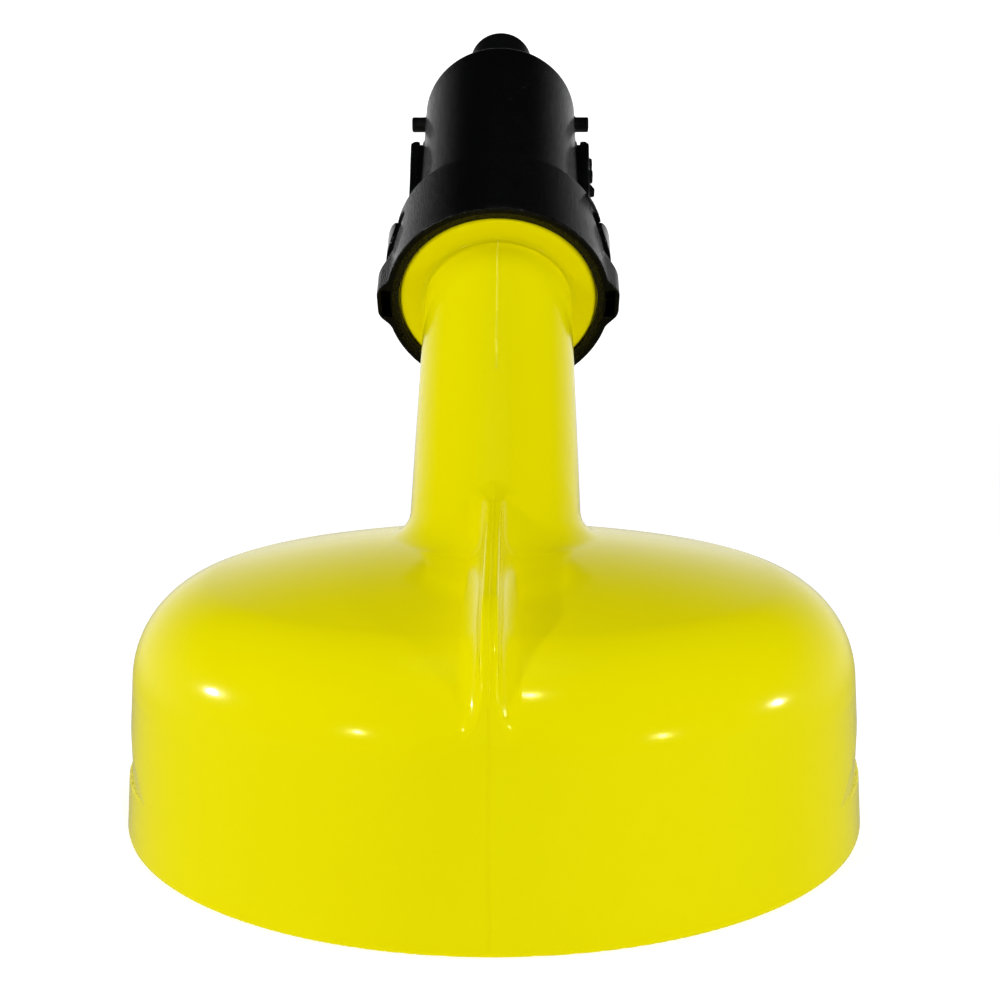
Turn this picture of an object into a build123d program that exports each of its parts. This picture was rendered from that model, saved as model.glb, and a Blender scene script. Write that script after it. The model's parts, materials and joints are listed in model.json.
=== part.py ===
from build123d import *
import math
import os

# Pouring lid of a wide mouthed fluid can, with a twist nozzle on an inclined spout.
# The origin is the centre of the lid's rim plane. +Z is up and the spout leans towards +Y.
# Millimetres. Heights along the spout are measured from the point where its axis meets the lid's top.

# ---- lid cap
mouth_radius = 58.0          # root of the thread
lead_in_step = 0.8           # the plain mouth below the thread is this much wider
lead_in_depth = 5.0
rim_wall = 3.2               # wall of the skirt at the rim
skirt_draft = 4.4            # degrees that the skirt leans inwards
lid_height = 45.3
crown_radius = 235.0         # the top is slightly domed
shoulder_radius = 16.5
lid_wall = 2.5
thread_pitch = 6.0
thread_turns = 1.5
thread_height = 1.3
thread_foot = 3.0            # width of the ridge at its root
thread_crest = 1.2
thread_inset = 2.5           # from the plain mouth to the start of the ridge
gasket_thickness = 1.8
gasket_width = 2.6
gasket_gap = 1.2             # between the ridge's end and the gasket
seat_margin = 0.4            # the ledge is this much wider than the gasket
seat_thickness = 2.0
seat_slope = 1.0             # rise of the ledge's top towards the wall
panel_low = 9.5              # bare sunk panels on both sides of the skirt
panel_width = 11.0
panel_depth = 0.38
panel_half_angle = 20.5      # degrees from the middle of the side to where the panel runs out

# ---- spout neck and flange
spout_elevation = 36.2       # degrees above the horizontal
spout_offset = 18.27         # where the spout axis meets the lid's top
neck_radius = 15.35
neck_wall = 2.65
neck_length = 64.83          # up to the back of the flange
neck_root_fillet = 3.3
cut_rise = 1.4               # the level cut between the cap and the neck, above the crown
flange_rim = 5.2             # how far the flange stands out from the neck
flange_thickness = 1.4
flange_edge = 0.7
flange_fillet = 1.2
step_rim = 0.85              # how far the hidden step of the flange stands out past its back
step_thickness = 2.0
socket_wall = 1.75           # wall of the neck around the core's socket
socket_depth = 12.0

# ---- gusset rib in front of the neck
rib_thickness = 2.6
rib_start = -8.72            # where its ridge leaves the neck, along the spout
rib_start_lift = 0.45        # how far the ridge's start stands off the neck
rib_nose_drop = 0.4          # corner of the ridge over the nose below the cap's top
rib_foot = 24.0              # the front of the ridge ends here, inside the wall of the skirt
rib_set_in = 0.75            # how far inside the skirt's face it ends
rib_nose_radius = 15.0
rib_edge = 0.6

# ---- valve core, pressed into the neck
spigot_wall = 2.0
guide_wall = 3.0             # wall of the tube that the barrel slides on
core_flange_rim = 2.3
core_flange_thickness = 2.0
core_length = 44.5           # from the flange's top to the end of the guide tube
socket_end_gap = 0.4
hub_wall = 2.5               # around the stem's threaded end
hub_height = 6.0
hub_lift = 2.4               # underside of the hub above the flange's top
spoke_width = 2.2
spoke_bite = 0.5             # how far each spoke runs into the tube's wall
spoke_count = 3

# ---- washer, collar and retaining ring
washer_thickness = 0.8
washer_gap = 0.6             # between the washer's bore and the core's flange
end_play = 0.1
collar_overhang = 0.85       # how far the collar's rim stands behind the flange
collar_length = 22.35
collar_rim_wall = 1.48       # around the retaining ring
collar_taper = 1.1           # how much slimmer the collar is at its top
collar_edge = 0.45
web_thickness = 2.0
web_bore_gap = 0.7
lip_thickness = 2.2
ring_thickness = 1.6
ring_recess = 0.3
ring_wall = 1.2
rim_gap = 0.32               # between the flange's edge and the retaining ring
flange_gap = 0.35            # between the flange's step and the collar
driver_wall = 2.0            # cheeks beside each rail

# ---- wings and thumb pads of the collar
wing_height = 1.8            # outer face of each wing above the collar's rim
wing_corner = 0.85           # height of the slanted corners of its outer face
wing_tip_half = 3.4
wing_side_half = 4.4
wing_root_half = 6.2
wing_length = 7.1
wing_slope = 1.9
pocket_wall = 0.95
pocket_floor_wall = 1.3
pocket_web = 0.55
pocket_half = 3.3
pad_inset = 5.45             # middle of each pad below the collar's top
pad_half_width = 8.0
pad_half_height = 4.4
pad_lift = 1.75              # crown of the pad above the collar's top edge
pad_crown_radius = 15.0
pad_sink = 0.55              # floor of the hollow below the collar's top edge
pad_edge = 0.5
pad_moat = 1.0
pad_moat_end = 2.6
mark_height = 0.45           # raised turn mark on the collar's right side
mark_start = 16.0            # degrees from +X
mark_end = 34.0
mark_width = 1.3
mark_inset = 0.8

# ---- barrel, keyed to the collar by its rails
barrel_wall = 3.25
barrel_length = 66.7
barrel_end_wall = 3.0
barrel_end_round = 2.4
barrel_gap = 1.5             # from the collar's web to the shut barrel
barrel_cone_length = 7.7     # where the bore narrows to the end wall
rail_width = 4.4
rail_start_gap = 1.0         # from the barrel's inner end
rail_end_inset = 16.1        # from the barrel's outer end
rail_height = 2.2
rail_flare = 0.85            # how much higher the rail is at its outer end
rail_flare_gap = 7.3         # the flare starts this far outside the collar
rail_corner = 1.2
rail_groove_lift = 0.2       # foot of the groove along the rail above the barrel's face
rail_groove_width = 0.7
rail_groove_depth = 0.9
peg_radius = 1.75
peg_height = 3.3
peg_inset = 5.3              # from the barrel's outer end
peg_edge = 0.35
rail_mark_height = 1.35      # index bars on the right rail
rail_mark_length = 2.6
rail_mark_width = 2.4
rail_mark_insets = (7.0, 11.6)
pointer_inset = 18.4
pointer_length = 3.6
pointer_height = 1.7

# ---- screw grooves that push the barrel out as it turns
travel = 6.0
turn = 90.0                  # degrees from shut to open
pin_radius = 1.4
pin_height = 10.2            # above the barrel's inner end when shut
pin_inner_gap = 0.2          # from the pin's inner end to the core's bore
pin_end_gap = 0.35
groove_depth = 1.8
groove_side_gap = 0.5
groove_steps = 12
groove_angle = 25.0          # where the first groove starts, from +X

# ---- tip, stem and plug
tip_radius = 7.7
tip_wall = 1.7
tip_length = 25.85
tip_round = 1.5
tip_root_step = 0.5          # the tip is thicker where it passes the barrel's end wall
seat_land = 1.35             # how much narrower the plug's seat is than the tip's bore
seat_length = 5.4
seat_cone = 1.6
tip_flange_rim = 3.7
tip_flange_thickness = 3.2
tip_flange_gap = 0.25        # around the flange where the barrel's cone ends
stem_radius = 2.0
stem_step = 0.5              # the threaded ends are slimmer by this
stem_point = 1.9             # end of the stem past its nut
stem_chamfer = 0.3
plug_gap = 0.35              # between the plug and its seat
plug_length = 9.8
plug_tail_step = 1.1
plug_tail = 3.4
plug_nose_gap = 0.6
plug_nose_round = 1.0
plug_thread_depth = 4.6
stem_washer_rim = 2.1
stem_washer_thickness = 0.7
stem_nut_wall = 1.25
stem_nut_height = 2.4

# ---- O-rings and running fits
running = 0.05               # radial clearance of a running fit
rail_play = 0.3
lip_play = 0.4
seal_section = 0.8           # radius of the barrel seals' section
core_seal_section = 0.55
core_seal_height = 7.0       # above the end of the core's spigot
barrel_seal_insets = (14.0, 7.0)
plug_seal_section = 0.7
plug_seal_back = 3.2         # behind the plug's nose
tip_seal_section = 0.8
groove_relief = 0.1          # a seal's groove is this much wider than the seal on each side

# ---- places in the cap
lead_in_radius = mouth_radius + lead_in_step
rim_radius = lead_in_radius + rim_wall
thread_start = lead_in_depth + thread_inset
thread_end = thread_start + thread_pitch * thread_turns + thread_foot / 2
seat_height = thread_end + gasket_gap + gasket_thickness
seat_width = gasket_width + seat_margin
ledge_top = seat_height + seat_thickness + seat_slope
panel_high = panel_low + panel_width

# ---- places along the spout
flange_step = neck_length + flange_thickness
flange_top = flange_step + step_thickness
washer_top = flange_top + washer_thickness
web_low = washer_top + end_play
web_high = web_low + web_thickness
collar_low = neck_length - collar_overhang
collar_high = collar_low + collar_length
lip_low = collar_high - lip_thickness
pad_place = collar_high - pad_inset
ring_low = collar_low + ring_recess
ring_high = ring_low + ring_thickness
barrel_low = web_high + barrel_gap
barrel_high = barrel_low + barrel_length
end_wall_low = barrel_high - barrel_end_wall
rail_low = barrel_low + rail_start_gap
rail_high = barrel_high - rail_end_inset
flare_low = collar_high + rail_flare_gap
pointer_low = rail_high - pointer_inset
tip_high = barrel_high + tip_length
core_high = flange_top + core_length
core_low = flange_top - socket_depth + socket_end_gap
hub_low = flange_top + hub_lift
hub_high = hub_low + hub_height
pin_place = barrel_low + pin_height
plug_high = tip_high - plug_nose_gap
plug_low = plug_high - plug_length
plug_tail_low = plug_low - plug_tail
stem_high = plug_tail_low + plug_thread_depth
nut_low = hub_low - stem_washer_thickness - stem_nut_height
stem_low = nut_low - stem_point

# ---- radii about the spout, from the neck outwards
neck_bore = neck_radius - neck_wall
socket_radius = neck_radius - socket_wall
tube_bore = socket_radius - spigot_wall
guide_radius = tube_bore + guide_wall
core_flange_radius = guide_radius + core_flange_rim
washer_bore = core_flange_radius + washer_gap
web_bore = core_flange_radius + web_bore_gap
flange_radius = neck_radius + flange_rim
step_radius = flange_radius + step_rim
cavity_radius = step_radius + flange_gap
ring_inner = flange_radius + rim_gap
ring_outer = ring_inner + ring_wall
collar_rim_radius = ring_outer + collar_rim_wall
collar_top_radius = collar_rim_radius - collar_taper
wing_reach = collar_rim_radius + wing_height
pocket_reach = wing_reach - pocket_wall
pocket_inner = ring_outer + pocket_web
pad_floor = collar_top_radius - pad_sink
pad_crown = collar_top_radius + pad_lift
barrel_bore = guide_radius + running
barrel_radius = barrel_bore + barrel_wall
lip_bore = barrel_radius + lip_play
rail_root = barrel_radius - barrel_wall / 2
rail_reach = barrel_radius + rail_height
rail_end_reach = rail_reach + rail_flare
rail_groove_low = barrel_radius + rail_groove_lift
rail_groove_high = rail_groove_low + rail_groove_width
notch_reach = rail_reach + rail_play
notch_half = rail_width / 2 + rail_play
cheek_half = notch_half + driver_wall
pin_reach = barrel_bore + groove_depth - pin_end_gap
pin_length = pin_reach - tube_bore - pin_inner_gap
groove_half = pin_radius + groove_side_gap

# ---- radii of the tip, the stem and the plug
tip_bore = tip_radius - tip_wall
tip_root_radius = tip_radius + tip_root_step
tip_flange_radius = tip_radius + tip_flange_rim
tip_seal_radius = (tip_root_radius + tip_flange_radius) / 2
barrel_cone_radius = tip_flange_radius + tip_flange_gap
seat_bore = tip_bore - seat_land
plug_radius = seat_bore - plug_gap
plug_tail_radius = plug_radius - plug_tail_step
stem_end_radius = stem_radius - stem_step
hub_radius = stem_end_radius + hub_wall
stem_washer_radius = stem_end_radius + stem_washer_rim
stem_nut_inradius = stem_end_radius + stem_nut_wall

elevation = math.radians(spout_elevation)
along = Vector(0, math.cos(elevation), math.sin(elevation))
upward = Vector(0, -math.sin(elevation), math.cos(elevation))
foot = Vector(0, spout_offset, lid_height)
spout = Plane(origin=foot, x_dir=(1, 0, 0), z_dir=along)
spout_section = Plane(origin=foot, x_dir=(1, 0, 0), z_dir=upward)
spout_axis = Axis(foot, along)
pin_frame = spout.offset(pin_place) * Rotation(0, 0, groove_angle)
middle = (Align.CENTER, Align.CENTER, Align.MIN)
sides = (-1, 1)

os.makedirs("parts", exist_ok=True)


def near(edge, height, radius):
    """True for a round edge of this radius about the spout axis, at this height along it."""
    centre = spout.to_local_coords(edge.arc_center)
    return (
        abs(centre.X) + abs(centre.Y) + abs(centre.Z - height) < 0.01
        and abs(edge.radius - radius) < 0.01
    )


# ---- thread ridge inside the skirt, used by the lid
with BuildPart() as thread:
    with BuildLine() as thread_path:
        Helix(thread_pitch, thread_pitch * thread_turns, mouth_radius, center=(0, 0, thread_start))
    thread_plane = Plane(thread_path.line @ 0, x_dir=(-1, 0, 0), z_dir=thread_path.line % 0)
    with BuildSketch(thread_plane) as ridge:
        with BuildLine():
            Polyline(
                (-0.4, -thread_foot / 2),
                (0, -thread_foot / 2),
                (thread_height, -thread_crest / 2),
                (thread_height, thread_crest / 2),
                (0, thread_foot / 2),
                (-0.4, thread_foot / 2),
                close=True,
            )
        make_face()
    sweep(path=thread_path.line, is_frenet=True)

# ---- the sunk panels' floor is a round face, deepest in the middle of each side
panel_middle = rim_radius - math.tan(math.radians(skirt_draft)) * (panel_low + panel_high) / 2
panel_run_out = math.cos(math.radians(panel_half_angle))
panel_centre = (panel_depth**2 - 2 * panel_depth * panel_middle) / (
    2 * (panel_middle - panel_depth - panel_middle * panel_run_out)
)
panel_floor = panel_middle - panel_depth - panel_centre

# ---- room inside the cap: mouth, thread root, gasket ledge and the hollow under the dome
draft = math.tan(math.radians(skirt_draft))
with BuildPart() as cap_room:
    with BuildSketch(Plane.XZ) as room_profile:
        with BuildLine():
            crown_in = lid_height - lid_wall
            edge_in = rim_radius - lid_wall - draft * crown_in
            crown_drop = edge_in**2 / (2 * crown_radius)
            top = ThreePointArc(
                (0, crown_in),
                (edge_in / 2, crown_in - crown_drop / 4),
                (edge_in, crown_in - crown_drop),
            )
            Polyline(
                top @ 1,
                (mouth_radius, ledge_top),
                (mouth_radius - seat_width, ledge_top - seat_slope),
                (mouth_radius - seat_width, seat_height),
                (0, seat_height),
                (0, crown_in),
            )
        make_face()
        inner_corner = room_profile.vertices().sort_by_distance((edge_in, crown_in - crown_drop))[0]
        corner_height = crown_in - crown_drop - ledge_top
        fillet(inner_corner, min(shoulder_radius - lid_wall, corner_height))
    revolve(axis=Axis.Z)
    Cylinder(mouth_radius, seat_height, align=middle)
    Cylinder(lead_in_radius, lead_in_depth, align=middle)

# ---- gusset rib, used by the lid
with BuildPart() as rib:
    with BuildSketch(Plane.YZ) as rib_profile:
        with BuildLine():
            ridge_start = foot + along * rib_start + upward * (neck_radius + rib_start_lift)
            rib_front = rim_radius - draft * rib_foot - rib_set_in
            nose = (-rib_front, lid_height - rib_nose_drop)
            Polyline(
                (ridge_start.Y, ridge_start.Z),
                nose,
                (-rib_front, rib_foot),
                (spout_offset, rib_foot),
                close=True,
            )
        make_face()
        fillet(rib_profile.vertices().sort_by_distance(nose)[0], rib_nose_radius)
    extrude(amount=rib_thickness / 2, both=True)
    side_edges = rib.faces().filter_by(Axis.X).edges()
    ridge = side_edges.filter_by(lambda e: e.center().Z > rib_foot + rib_edge)
    fillet(ridge.filter_by(lambda e: e.center().Y < ridge_start.Y), rib_edge)

# ---- the moulding: cap, neck, flange and rib in one
with BuildPart() as moulding:
    with BuildSketch(Plane.XZ) as cap_profile:
        with BuildLine():
            edge = rim_radius - draft * lid_height
            crown_drop = edge**2 / (2 * crown_radius)
            top = ThreePointArc(
                (0, lid_height),
                (edge / 2, lid_height - crown_drop / 4),
                (edge, lid_height - crown_drop),
            )
            Polyline(top @ 1, (rim_radius, 0), (0, 0), (0, lid_height))
        make_face()
        fillet(cap_profile.vertices().sort_by(Axis.Y)[-2], shoulder_radius)
    revolve(axis=Axis.Z)
    with BuildSketch(spout.offset(-2 * neck_radius)):
        Circle(neck_radius)
    extrude(amount=neck_length + 2 * neck_radius)
    root = moulding.edges().filter_by(GeomType.BSPLINE)
    fillet(root, neck_root_fillet)
    with BuildSketch(spout.offset(neck_length)):
        Circle(flange_radius)
    extrude(amount=flange_thickness)
    back_edges = moulding.edges().filter_by(GeomType.CIRCLE)
    fillet(back_edges.filter_by(lambda e: near(e, neck_length, flange_radius)), flange_edge)
    back_edges = moulding.edges().filter_by(GeomType.CIRCLE)
    fillet(back_edges.filter_by(lambda e: near(e, neck_length, neck_radius)), flange_fillet)
    with BuildSketch(spout.offset(flange_step)):
        Circle(step_radius)
    extrude(amount=step_thickness)
    add(rib.part)
    add(cap_room.part, mode=Mode.SUBTRACT)
    add(thread.part)
    with BuildSketch(spout.offset(-2 * neck_radius)):
        Circle(neck_bore)
    extrude(amount=flange_top + 2 * neck_radius, mode=Mode.SUBTRACT)
    with BuildSketch(spout.offset(flange_top - socket_depth)):
        Circle(socket_radius)
    extrude(amount=socket_depth, mode=Mode.SUBTRACT)
    with BuildSketch(Plane.XY.offset(panel_low)):
        for side in sides:
            with Locations((side * rim_radius, 0)):
                Rectangle(2 * rim_radius, 2 * rim_radius)
            with Locations((side * panel_centre, 0)):
                Circle(panel_floor, mode=Mode.SUBTRACT)
    extrude(amount=panel_high - panel_low, mode=Mode.SUBTRACT)

# ---- spout lid and spout neck: the same moulding, below and above a level cut over the crown
cut = Plane.XY.offset(lid_height + cut_rise)
with BuildPart() as spout_lid:
    add(moulding.part)
    split(bisect_by=cut, keep=Keep.BOTTOM)
spout_lid.part.label = "spout_lid"
export_step(spout_lid.part, "parts/spout_lid.step")

with BuildPart() as spout_neck:
    add(moulding.part)
    split(bisect_by=cut, keep=Keep.TOP)
spout_neck.part.label = "spout_neck"
export_step(spout_neck.part, "parts/spout_neck.step")

# ---- gasket: flat rubber ring against the ledge
with BuildPart(Plane.XY.offset(seat_height - gasket_thickness)) as lid_gasket:
    Cylinder(mouth_radius, gasket_thickness, align=middle)
    Cylinder(mouth_radius - gasket_width, gasket_thickness, align=middle, mode=Mode.SUBTRACT)
lid_gasket.part.label = "lid_gasket"
export_step(lid_gasket.part, "parts/lid_gasket.step")

# ---- valve core: spigot, flange, guide tube and the spider that holds the stem
with BuildPart() as valve_core:
    with BuildSketch(spout_section):
        with BuildLine():
            Polyline(
                (tube_bore, core_low),
                (socket_radius, core_low),
                (socket_radius, flange_top),
                (core_flange_radius, flange_top),
                (core_flange_radius, flange_top + core_flange_thickness),
                (guide_radius, flange_top + core_flange_thickness),
                (guide_radius, core_high),
                (tube_bore, core_high),
                close=True,
            )
        make_face()
    revolve(axis=spout_axis)
    with BuildSketch(spout.offset(hub_low)):
        Circle(hub_radius)
        with PolarLocations(0, spoke_count, start_angle=90):
            Rectangle(tube_bore + spoke_bite, spoke_width, align=(Align.MIN, Align.CENTER))
        Circle(stem_end_radius, mode=Mode.SUBTRACT)
    extrude(amount=hub_height)
    core_groove = 2 * (core_seal_section + groove_relief)
    with Locations(spout.offset(core_low + core_seal_height - core_groove / 2)):
        Cylinder(socket_radius, core_groove, align=middle, mode=Mode.SUBTRACT)
        Cylinder(socket_radius - 2 * core_seal_section, core_groove, align=middle)
        Cylinder(tube_bore, core_groove, align=middle, mode=Mode.SUBTRACT)
    barrel_groove = 2 * (seal_section + groove_relief)
    for inset in barrel_seal_insets:
        with Locations(spout.offset(core_high - inset - barrel_groove / 2)):
            Cylinder(guide_radius, barrel_groove, align=middle, mode=Mode.SUBTRACT)
            Cylinder(guide_radius - 2 * seal_section, barrel_groove, align=middle)
            Cylinder(tube_bore, barrel_groove, align=middle, mode=Mode.SUBTRACT)
    for side in sides:
        with Locations(pin_frame * Rotation(0, side * 90, 0)):
            Cylinder(pin_radius, 2 * guide_radius, align=middle, mode=Mode.SUBTRACT)
valve_core.part.label = "valve_core"
export_step(valve_core.part, "parts/valve_core.step")

# ---- core seal and the three other kinds of O-ring
seals = {
    "core_seal": (core_low + core_seal_height, socket_radius - core_seal_section, core_seal_section),
    "barrel_seal_lower": (core_high - barrel_seal_insets[0], guide_radius - seal_section, seal_section),
    "barrel_seal_upper": (core_high - barrel_seal_insets[1], guide_radius - seal_section, seal_section),
    "plug_seal": (plug_high - plug_seal_back, seat_bore - running - plug_seal_section, plug_seal_section),
    "tip_seal": (end_wall_low - tip_seal_section, tip_seal_radius, tip_seal_section),
}
for name, (height, radius, section) in seals.items():
    with BuildPart(spout.offset(height)) as seal:
        Torus(radius, section)
    seal.part.label = name
    export_step(seal.part, f"parts/{name}.step")

# ---- cam pins: two dowels pressed through the core, their outer ends in the barrel's grooves
with BuildPart() as cam_pins:
    for side in sides:
        with Locations(pin_frame * Rotation(0, side * 90, 0)):
            with Locations((0, 0, pin_reach - pin_length)):
                Cylinder(pin_radius, pin_length, align=middle)
cam_pins.part.label = "cam_pins"
export_step(cam_pins.part, "parts/cam_pins.step")

# ---- stem: rod from the core's hub to the plug
with BuildPart() as stem:
    with Locations(spout.offset(stem_low)):
        Cylinder(stem_end_radius, stem_high - stem_low, align=middle)
    with Locations(spout.offset(hub_high)):
        Cylinder(stem_radius, plug_tail_low - hub_high, align=middle)
    ends = stem.faces().filter_by(GeomType.PLANE).sort_by(spout_axis)
    chamfer((ends[0].edges() + ends[-1].edges()), stem_chamfer)
stem.part.label = "stem"
export_step(stem.part, "parts/stem.step")

# ---- washer and nut under the hub
with BuildPart(spout.offset(hub_low - stem_washer_thickness)) as stem_washer:
    Cylinder(stem_washer_radius, stem_washer_thickness, align=middle)
    Cylinder(stem_end_radius, stem_washer_thickness, align=middle, mode=Mode.SUBTRACT)
stem_washer.part.label = "stem_washer"
export_step(stem_washer.part, "parts/stem_washer.step")

with BuildPart() as stem_nut:
    with BuildSketch(spout.offset(nut_low)):
        RegularPolygon(stem_nut_inradius, 6, major_radius=False)
        Circle(stem_end_radius, mode=Mode.SUBTRACT)
    extrude(amount=stem_nut_height)
stem_nut.part.label = "stem_nut"
export_step(stem_nut.part, "parts/stem_nut.step")

# ---- plug: closes the tip's mouth from inside
plug_groove = 2 * (plug_seal_section + groove_relief)
seal_low = plug_high - plug_seal_back - plug_groove / 2
plug_floor = seat_bore - running - 2 * plug_seal_section
with BuildPart() as plug:
    with BuildSketch(spout_section):
        with BuildLine():
            Polyline(
                (0, plug_tail_low),
                (plug_tail_radius, plug_tail_low),
                (plug_tail_radius, plug_low),
                (plug_radius, plug_low),
                (plug_radius, seal_low),
                (plug_floor, seal_low),
                (plug_floor, seal_low + plug_groove),
                (plug_radius, seal_low + plug_groove),
                (plug_radius, plug_high),
                (0, plug_high),
                close=True,
            )
        make_face()
    revolve(axis=spout_axis)
    fillet(plug.edges().sort_by(spout_axis)[-1], plug_nose_round)
    with Locations(spout.offset(plug_tail_low)):
        Cylinder(stem_end_radius, plug_thread_depth, align=middle, mode=Mode.SUBTRACT)
plug.part.label = "plug"
export_step(plug.part, "parts/plug.step")

# ---- thrust washer between the flange and the collar's web
with BuildPart(spout.offset(flange_top)) as thrust_washer:
    Cylinder(step_radius, washer_thickness, align=middle)
    Cylinder(washer_bore, washer_thickness, align=middle, mode=Mode.SUBTRACT)
thrust_washer.part.label = "thrust_washer"
export_step(thrust_washer.part, "parts/thrust_washer.step")

# ---- retaining ring behind the flange's step
with BuildPart(spout.offset(ring_low)) as retaining_ring:
    Cylinder(ring_outer, ring_thickness, align=middle)
    Cylinder(ring_inner, ring_thickness, align=middle, mode=Mode.SUBTRACT)
retaining_ring.part.label = "retaining_ring"
export_step(retaining_ring.part, "parts/retaining_ring.step")

# ---- thumb pads, and the oval hollows that they sit in
pad_cutters = []
for side, name in zip(sides, ("thumb_pad_left", "thumb_pad_right")):
    pad_plane = Plane(origin=foot + along * pad_place, x_dir=upward, z_dir=(side, 0, 0))
    with BuildPart() as hollow:
        with BuildSketch(pad_plane):
            Ellipse(pad_half_width + pad_moat_end, pad_half_height + pad_moat)
        extrude(amount=wing_reach)
        with Locations(spout.offset(collar_low)):
            Cylinder(pad_floor, collar_length, align=middle, mode=Mode.SUBTRACT)
    pad_cutters.append(hollow.part)
    with BuildPart() as pad:
        with BuildSketch(pad_plane):
            Ellipse(pad_half_width, pad_half_height)
        extrude(amount=wing_reach)
        crown_centre = foot + Vector(side * (pad_crown - pad_crown_radius), 0, 0)
        with Locations(Plane(origin=crown_centre, x_dir=(1, 0, 0), z_dir=along).offset(collar_low)):
            Cylinder(pad_crown_radius, collar_length + pad_half_height, align=middle, mode=Mode.INTERSECT)
        with Locations(spout.offset(collar_low)):
            Cylinder(pad_floor, collar_length + pad_half_height, align=middle, mode=Mode.SUBTRACT)
        outer_face = pad.faces().filter_by(GeomType.CYLINDER).sort_by(Axis.X)[0 if side < 0 else -1]
        fillet(outer_face.edges().sort_by(Edge.length)[-1], pad_edge)
    pad.part.label = name
    export_step(pad.part, f"parts/{name}.step")

# ---- collar: turned ring with wings, hollows for the pads and notches for the barrel's rails
with BuildPart() as wings:
    with BuildSketch(spout.offset(collar_low)):
        for side in sides:
            with BuildLine():
                Polyline(
                    (0, -wing_root_half),
                    (side * pocket_inner, -wing_root_half),
                    (side * (wing_reach - wing_corner), -wing_side_half),
                    (side * wing_reach, -wing_tip_half),
                    (side * wing_reach, wing_tip_half),
                    (side * (wing_reach - wing_corner), wing_side_half),
                    (side * pocket_inner, wing_root_half),
                    (0, wing_root_half),
                    close=True,
                )
            make_face()
    extrude(amount=wing_length + wing_slope)
    with BuildSketch(spout_section):
        for side in sides:
            with BuildLine():
                Polyline(
                    (side * wing_reach, collar_low + wing_length),
                    (side * (wing_reach + wing_slope), collar_low + wing_length),
                    (side * (wing_reach + wing_slope), collar_low + wing_length + 2 * wing_slope),
                    (side * (collar_rim_radius - wing_slope), collar_low + wing_length + 2 * wing_slope),
                    close=True,
                )
            make_face()
    extrude(amount=2 * wing_root_half, both=True, mode=Mode.SUBTRACT)

with BuildPart() as collar:
    with BuildSketch(spout_section):
        with BuildLine():
            Polyline(
                (0, collar_low),
                (collar_rim_radius, collar_low),
                (collar_top_radius, collar_high),
                (0, collar_high),
                close=True,
            )
        make_face()
    revolve(axis=spout_axis)
    add(wings.part)
    for cutter in pad_cutters:
        add(cutter, mode=Mode.SUBTRACT)
    with Locations(spout.offset(collar_low)):
        Cylinder(ring_outer, ring_high - collar_low, align=middle, mode=Mode.SUBTRACT)
    with Locations(spout.offset(ring_high)):
        Cylinder(cavity_radius, web_low - ring_high, align=middle, mode=Mode.SUBTRACT)
    with Locations(spout.offset(web_low)):
        Cylinder(web_bore, web_thickness, align=middle, mode=Mode.SUBTRACT)
    with Locations(spout.offset(web_high)):
        Cylinder(lip_bore, collar_high - web_high, align=middle, mode=Mode.SUBTRACT)
    with BuildSketch(spout.offset(web_high)):
        Circle(notch_reach)
        Circle(lip_bore, mode=Mode.SUBTRACT)
        Rectangle(2 * notch_reach, 2 * cheek_half, mode=Mode.SUBTRACT)
    extrude(amount=lip_low - web_high, mode=Mode.SUBTRACT)
    with BuildSketch(spout.offset(web_high)):
        Circle(notch_reach)
        with Locations((0, notch_half + notch_reach), (0, -notch_half - notch_reach)):
            Rectangle(3 * notch_reach, 2 * notch_reach, mode=Mode.SUBTRACT)
    extrude(amount=collar_high - web_high, mode=Mode.SUBTRACT)
    with BuildSketch(spout.offset(collar_low)):
        Rectangle(2 * pocket_reach, 2 * pocket_half)
        Circle(pocket_inner, mode=Mode.SUBTRACT)
    extrude(amount=wing_length - pocket_floor_wall, mode=Mode.SUBTRACT)
    ends = collar.edges().filter_by(GeomType.CIRCLE)
    fillet(ends.filter_by(lambda e: near(e, collar_high, collar_top_radius)), collar_edge)
    mark_sector = [(0, 0)]
    for angle in (mark_start, mark_end):
        mark_angle = math.radians(-angle)
        mark_sector.append((2 * wing_reach * math.cos(mark_angle), 2 * wing_reach * math.sin(mark_angle)))
    with BuildSketch(spout.offset(collar_high - mark_inset - mark_width)):
        with BuildLine():
            Polyline(*mark_sector, close=True)
        make_face()
        Circle(collar_top_radius + mark_height, mode=Mode.INTERSECT)
        Circle(collar_top_radius - mark_height, mode=Mode.SUBTRACT)
    extrude(amount=mark_width)
collar.part.label = "collar"
export_step(collar.part, "parts/collar.step")

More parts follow.
